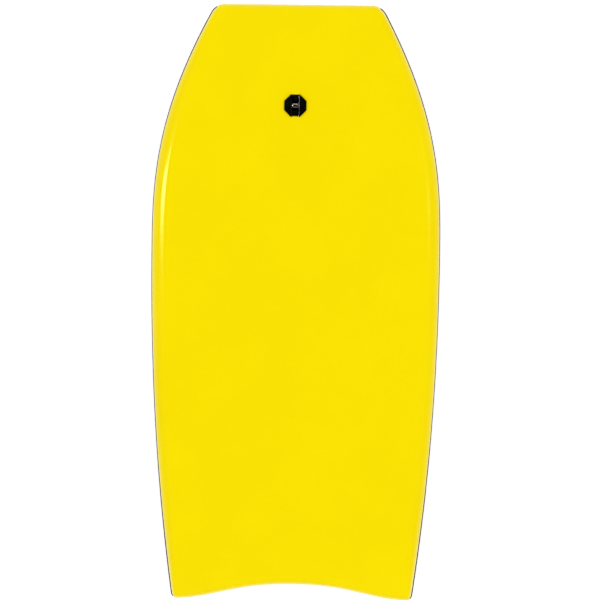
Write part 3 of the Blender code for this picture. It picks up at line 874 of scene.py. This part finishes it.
def make_board(stations, plug, base, paint):
    """The core, the skin over it, the two bottom layers and the four edge strips."""
    skin, core, backing, slick = make_layers(stations, plug)
    flange_room = FLANGE_SUNK + GAP
    combine(skin, pocket_mesh(-flange_room, -DIMPLE_DEPTH, THICKNESS), "DIFFERENCE", plug)
    for layer in (skin, core, backing):
        combine(layer, upright_cylinder(BORE_RADIUS, -2 * THICKNESS, THICKNESS), "DIFFERENCE", plug)
    for layer in (backing, slick):
        combine(layer, pocket_mesh(base + flange_room, base, base - THICKNESS), "DIFFERENCE", plug)

    finish_piece(skin, paint["yellow_foam"], "deck_skin")
    finish_piece(core, paint["beads"], "foam_core")
    finish_piece(backing, paint["black_foam"], "bottom_foam")
    finish_piece(slick, paint["slick"], "slick_sheet")
    round_nose = stations[NOSE_LEFT:] + stations[: NOSE_RIGHT + 1]
    strips = (
        ("rail_foam_right", "rail_right", "black_foam", "rail_foam", stations[NOSE_RIGHT : TAIL_RIGHT + 1]),
        ("rail_foam_left", "rail_left", "black_foam", "rail_foam", stations[TAIL_LEFT : NOSE_LEFT + 1]),
        ("nose_foam", "nose_bumper", "yellow_foam", "deck_foam", round_nose),
        ("tail_foam", "tail_bumper", "yellow_foam", "deck_foam", stations[TAIL_RIGHT : TAIL_LEFT + 1]),
    )
    for name, node, colour, slot, part in strips:
        finish_piece(make_object(name, strip_mesh(part)), paint[colour], node)


def make_cup(plug, paint):
    """The octagonal top half: a flange and a threaded barrel, hollowed for the leash round a pin."""
    cup = make_object("plug_top", flange_mesh(-FLANGE_SUNK, FLANGE_PROUD))
    combine(cup, upright_cylinder(BARREL_RADIUS, PLAIN_BARREL_END, -FLANGE_SUNK / 2), "UNION")
    combine(cup, hollow_mesh(), "DIFFERENCE")
    combine(cup, channel_lip_mesh(), "DIFFERENCE")
    combine(cup, crosswise_cylinder(PIN_NECK + GAP / 2, PIN_LENGTH + GAP, PIN_HEIGHT), "DIFFERENCE")
    plain_end = (
        (BARREL_RADIUS, BARREL_END + BARREL_CHAMFER),
        (BARREL_RADIUS - BARREL_CHAMFER, BARREL_END),
    )
    rod = threaded_rod(
        plain_end,
        lambda shape, faded: BARREL_RADIUS - GAP / 6 + THREAD_DEPTH * shape * faded,
        PLAIN_BARREL_END + THREAD_PITCH / 2,
    )
    combine(cup, rod, "UNION")
    cup.data.transform(plug)
    finish_piece(cup, paint["plug"], "plug_cup")


def pin_mesh():
    """A turned pin: a thick middle with rounded shoulders, and a neck at each end that sits in the cup."""
    profile = [(PIN_LENGTH / 2 - inset, PIN_NECK - short) for inset, short in rounding(PIN_EDGE)]
    for inset, short in rounding(PIN_SHOULDER, 2 * LIP_STEPS):
        profile.append((PIN_MIDDLE / 2 - inset, PIN_RADIUS - short))
    profile += [(-along, radius) for along, radius in reversed(profile)]
    angles = [2 * math.pi * i / ROUND_SIDES for i in range(ROUND_SIDES)]
    return ring_mesh([
        [(along, radius * math.cos(a), PIN_HEIGHT + radius * math.sin(a)) for a in angles]
        for along, radius in profile
    ])


def make_pin(plug, paint):
    pin = make_object("plug_cross_pin", pin_mesh(), plug)
    finish_piece(pin, paint["steel"], "plug_pin")


def make_nut(plug, base, paint):
    """The bottom half: an octagonal flange and a sleeve that the barrel screws into."""
    inner_face = base + FLANGE_SUNK
    outer_face = base - NUT_PROUD
    nut = make_object("plug_bottom", flange_mesh(inner_face, outer_face))
    combine(nut, upright_cylinder(SLEEVE_RADIUS, inner_face - FLANGE_SUNK / 2, SLEEVE_TOP), "UNION")
    combine(nut, coin_slot_mesh(outer_face), "DIFFERENCE")
    clear_radius = BARREL_RADIUS + THREAD_DEPTH + THREAD_CLEARANCE
    bore = threaded_rod(
        ((clear_radius, inner_face),),
        lambda shape, faded: clear_radius - THREAD_DEPTH * (1 - shape) * faded,
        SLEEVE_TOP + FLANGE_SUNK,
    )
    combine(nut, bore, "DIFFERENCE")
    nut.data.transform(plug)
    finish_piece(nut, paint["plug"], "plug_nut")


# Materials. Scales are in features a metre, bump distances in metres.


def add_node(tree, kind, settings=None, **inputs):
    node = tree.nodes.new(kind)
    for key, value in (settings or {}).items():
        setattr(node, key, value)
    for key, value in inputs.items():
        node.inputs[key.replace("_", " ")].default_value = value
    return node


def start_material(name, **values):
    """A material with its uniform values on the shader, and the object coordinates for its patterns."""
    material = bpy.data.materials.new(name)
    material.use_nodes = True
    tree = material.node_tree
    shader = tree.nodes["Principled BSDF"]
    for key, value in values.items():
        shader.inputs[key.replace("_", " ")].default_value = value
    place = tree.nodes.new("ShaderNodeTexCoord").outputs["Object"]
    return material, tree, shader, place


def multiply(tree, first, second):
    node = add_node(tree, "ShaderNodeMath", {"operation": "MULTIPLY"})
    tree.links.new(first, node.inputs[0])
    tree.links.new(second, node.inputs[1])
    return node.outputs["Value"]


def stretched(tree, place, scale):
    mapping = add_node(tree, "ShaderNodeMapping", Scale=scale)
    tree.links.new(place, mapping.inputs["Vector"])
    return mapping.outputs["Vector"]


def noise_at(tree, place, scale, detail=3.0):
    node = add_node(tree, "ShaderNodeTexNoise", Scale=scale, Detail=detail)
    tree.links.new(place, node.inputs["Vector"])
    return node.outputs["Fac"]


def cells_at(tree, place, scale, feature):
    node = add_node(tree, "ShaderNodeTexVoronoi", {"feature": feature}, Scale=scale)
    tree.links.new(place, node.inputs["Vector"])
    return node.outputs["Distance"]


def spread(tree, value, low, high, start=0.3, end=0.7):
    """Maps the range from start to end, by default a noise's usual one, to the range from low to high."""
    node = tree.nodes.new("ShaderNodeMapRange")
    tree.links.new(value, node.inputs["Value"])
    for key, number in (("From Min", start), ("From Max", end), ("To Min", low), ("To Max", high)):
        node.inputs[key].default_value = number
    return node.outputs["Result"]


def colour_between(tree, shader, share, first, second):
    """The base colour runs from the first to the second with this share."""
    node = add_node(tree, "ShaderNodeMix", {"data_type": "RGBA"})
    colour_a, colour_b = [socket for socket in node.inputs if socket.type == "RGBA"]
    colour_a.default_value = (*first, 1)
    colour_b.default_value = (*second, 1)
    tree.links.new(share, node.inputs["Factor"])
    mixed = [socket for socket in node.outputs if socket.type == "RGBA"]
    tree.links.new(mixed[0], shader.inputs["Base Color"])


def add_up(tree, first, second, weight):
    """first plus second times weight."""
    node = add_node(tree, "ShaderNodeMath", {"operation": "MULTIPLY_ADD"})
    tree.links.new(second, node.inputs[0])
    node.inputs[1].default_value = weight
    tree.links.new(first, node.inputs[2])
    return node.outputs["Value"]


def bump(tree, shader, height, distance):
    node = add_node(tree, "ShaderNodeBump", Distance=distance, Strength=1.0)
    tree.links.new(height, node.inputs["Height"])
    tree.links.new(node.outputs["Normal"], shader.inputs["Normal"])


def foam_material(name, light, dark, smoothest, roughest, specular, sheen_colour):
    """Skinned closed-cell foam: a fine pebbled face, faint cloudy tone and a soft sheen."""
    material, tree, shader, place = start_material(
        name, Specular_IOR_Level=specular, Specular_Tint=(*sheen_colour, 1)
    )
    clouds = noise_at(tree, place, scale=11.0, detail=4.0)
    grain = noise_at(tree, place, scale=900.0, detail=2.0)
    tone = spread(tree, add_up(tree, clouds, grain, weight=1.2), low=0.0, high=1.0, start=0.8, end=1.4)
    colour_between(tree, shader, tone, dark, light)
    patches = noise_at(tree, place, scale=28.0, detail=5.0)
    tree.links.new(spread(tree, patches, smoothest, roughest), shader.inputs["Roughness"])
    pebbles = cells_at(tree, place, scale=520.0, feature="SMOOTH_F1")
    pores = noise_at(tree, place, scale=1900.0)
    bump(tree, shader, add_up(tree, pebbles, pores, weight=0.5), distance=0.00005)
    return material


def bead_material(name):
    """Moulded white polystyrene: beads about 3 mm across, pressed flat against each other."""
    material, tree, shader, place = start_material(name, Specular_IOR_Level=0.3)
    edges = cells_at(tree, place, scale=320.0, feature="DISTANCE_TO_EDGE")
    seam = spread(tree, edges, low=1.0, high=0.0, start=0.0, end=0.09)
    colour_between(tree, shader, seam, (0.86, 0.86, 0.84), (0.66, 0.66, 0.64))
    patches = noise_at(tree, place, scale=90.0)
    tree.links.new(spread(tree, patches, low=0.62, high=0.82), shader.inputs["Roughness"])
    bump(tree, shader, spread(tree, edges, low=0.0, high=1.0, start=0.0, end=0.12), distance=0.0003)
    return material


def slick_material(name):
    """Black polyethylene sheet: glossy, a little wavy, with hairline scratches along the board."""
    material, tree, shader, place = start_material(name, Specular_IOR_Level=0.5)
    streaks = noise_at(tree, stretched(tree, place, (900.0, 14.0, 60.0)), scale=1.0, detail=4.0)
    scratch = spread(tree, streaks, low=0.0, high=1.0, start=0.66, end=0.72)
    colour_between(tree, shader, scratch, (0.010, 0.010, 0.011), (0.035, 0.035, 0.037))
    haze = spread(tree, noise_at(tree, place, scale=16.0, detail=5.0), low=0.17, high=0.30)
    tree.links.new(add_up(tree, haze, scratch, weight=0.16), shader.inputs["Roughness"])
    waves = noise_at(tree, place, scale=55.0, detail=2.0)
    bump(tree, shader, add_up(tree, waves, scratch, weight=-0.12), distance=0.00035)
    return material


def plug_material(name):
    """Black moulded nylon: glossy, with the faint flow and handling marks of a moulding."""
    material, tree, shader, place = start_material(name, Specular_IOR_Level=0.45)
    flow = noise_at(tree, place, scale=160.0, detail=5.0)
    tone = spread(tree, flow, low=0.0, high=1.0)
    colour_between(tree, shader, tone, (0.0016, 0.0016, 0.0018), (0.0036, 0.0035, 0.0034))
    tree.links.new(spread(tree, flow, low=0.13, high=0.22), shader.inputs["Roughness"])
    fine = noise_at(tree, place, scale=2600.0, detail=2.0)
    coarse = noise_at(tree, place, scale=420.0)
    bump(tree, shader, add_up(tree, fine, coarse, weight=1.5), distance=0.000012)
    return material


def steel_material(name):
    """Turned and polished stainless rod, with fine rings round it."""
    material, tree, shader, place = start_material(name, Metallic=1.0)
    tint = spread(tree, noise_at(tree, place, scale=240.0), low=0.0, high=1.0)
    colour_between(tree, shader, tint, (0.58, 0.49, 0.36), (0.70, 0.64, 0.53))
    turned = noise_at(tree, stretched(tree, place, (5200.0, 30.0, 30.0)), scale=1.0)
    tree.links.new(spread(tree, turned, low=0.12, high=0.21), shader.inputs["Roughness"])
    bump(tree, shader, turned, distance=0.000012)
    return material


def floor_material(name):
    """A matt white sweep that glows a little, so that it stays white under the board."""
    material, tree, shader, place = start_material(
        name, Emission_Strength=0.52, Emission_Color=(1, 1, 1, 1), Specular_IOR_Level=0.1
    )
    tone = spread(tree, noise_at(tree, place, scale=3.0), low=0.0, high=1.0)
    colour_between(tree, shader, tone, (0.86, 0.86, 0.86), (0.88, 0.88, 0.88))
    patches = noise_at(tree, place, scale=40.0)
    tree.links.new(spread(tree, patches, low=0.85, high=0.95), shader.inputs["Roughness"])
    return material


# Studio


def make_floor():
    """The floor shows white but sends no diffuse light onto the board."""
    mesh = bmesh.new()
    bmesh.ops.create_grid(mesh, x_segments=FLOOR_STEPS, y_segments=FLOOR_STEPS, size=FLOOR_SIZE / 2)
    floor = make_object("floor", mesh)
    floor.location.z = FLOOR_HEIGHT
    floor.data.materials.append(floor_material("floor"))
    floor.visible_diffuse = False


def make_lamp(lamp):
    """A rectangular area light that faces its target at the height of the deck, seen only in reflections."""
    light = bpy.data.lights.new(lamp.name, "AREA")
    light.shape = "RECTANGLE"
    light.size, light.size_y = lamp.size
    light.energy = lamp.watts
    azimuth = math.radians(lamp.azimuth)
    elevation = math.radians(lamp.elevation)
    level = math.cos(elevation)
    way = Vector((level * math.sin(azimuth), level * math.cos(azimuth), math.sin(elevation)))
    target = Vector((*lamp.target, THICKNESS))
    facing = way.to_track_quat("Z", "Y").to_matrix().to_4x4()
    item = bpy.data.objects.new(lamp.name, light)
    item.matrix_world = Matrix.Translation(target + lamp.distance * way) @ facing
    item.visible_camera = False
    item.visible_diffuse = False
    bpy.context.scene.collection.objects.link(item)


def make_world():
    """A pale tent, dimmer below the horizon and with a dark opening at its top. Glossy faces mirror only its
    lowest part, so that the lamps draw their streaks and glints."""
    world = bpy.data.worlds.new("studio")
    world.use_nodes = True
    tree = world.node_tree
    split = tree.nodes.new("ShaderNodeSeparateXYZ")
    tree.links.new(tree.nodes.new("ShaderNodeTexCoord").outputs["Generated"], split.inputs["Vector"])
    up = split.outputs["Z"]
    walls = spread(tree, up, HORIZON_GLOW, ZENITH_GLOW, 0.0, 1.0)
    ground = spread(tree, up, GROUND_SHARE, 1.0, *GROUND_FADE)
    closed = spread(tree, up, 1.0, 0.0, *OPENING_FADE)
    tent = multiply(tree, multiply(tree, walls, ground), closed)
    mirrored_tent = spread(tree, up, MIRRORED_GLOW, 0.0, *MIRRORED_FADE)
    choose = add_node(tree, "ShaderNodeMix", {"data_type": "FLOAT"})
    tree.links.new(tree.nodes.new("ShaderNodeLightPath").outputs["Is Glossy Ray"], choose.inputs["Factor"])
    tree.links.new(tent, choose.inputs["A"])
    tree.links.new(mirrored_tent, choose.inputs["B"])
    background = tree.nodes["Background"]
    background.inputs["Color"].default_value = (1, 1, 1, 1)
    tree.links.new(choose.outputs["Result"], background.inputs["Strength"])
    world.cycles.sampling_method = "NONE"
    bpy.context.scene.world = world


def make_camera():
    """Straight above the deck, nose up, with the board a little left of the middle."""
    camera = bpy.data.cameras.new("camera")
    camera.sensor_width = SENSOR
    camera.lens = SENSOR * CAMERA_HEIGHT / VIEW_WIDTH
    item = bpy.data.objects.new("camera", camera)
    turn = Matrix.Rotation(CAMERA_TURN, 4, "Z")
    place = (CAMERA_RIGHT, CAMERA_NOSEWARD, CAMERA_HEIGHT + THICKNESS / 2)
    item.matrix_world = turn @ Matrix.Translation(place)
    bpy.context.scene.collection.objects.link(item)
    bpy.context.scene.camera = item


def main():
    make_camera()
    make_floor()
    for lamp in LAMPS:
        make_lamp(lamp)
    make_world()
    bpy.context.scene.view_settings.view_transform = "Standard"
    paint = {
        "yellow_foam": foam_material(
            "yellow_foam", light=(0.990, 0.787, 0.0016), dark=(0.950, 0.747, 0.0014), smoothest=0.10,
            roughest=0.14, specular=0.11, sheen_colour=(1.0, 0.92, 0.36),
        ),
        "black_foam": foam_material(
            "black_foam", light=(0.012, 0.012, 0.013), dark=(0.007, 0.007, 0.008), smoothest=0.38,
            roughest=0.50, specular=0.20, sheen_colour=(1.0, 1.0, 1.0),
        ),
        "beads": bead_material("polystyrene"),
        "slick": slick_material("slick"),
        "plug": plug_material("plug_nylon"),
        "steel": steel_material("pin_steel"),
    }
    plug, base = plug_frame()
    make_board(make_outline(), plug, base, paint)
    make_cup(plug, paint)
    make_pin(plug, paint)
    make_nut(plug, base, paint)


main()
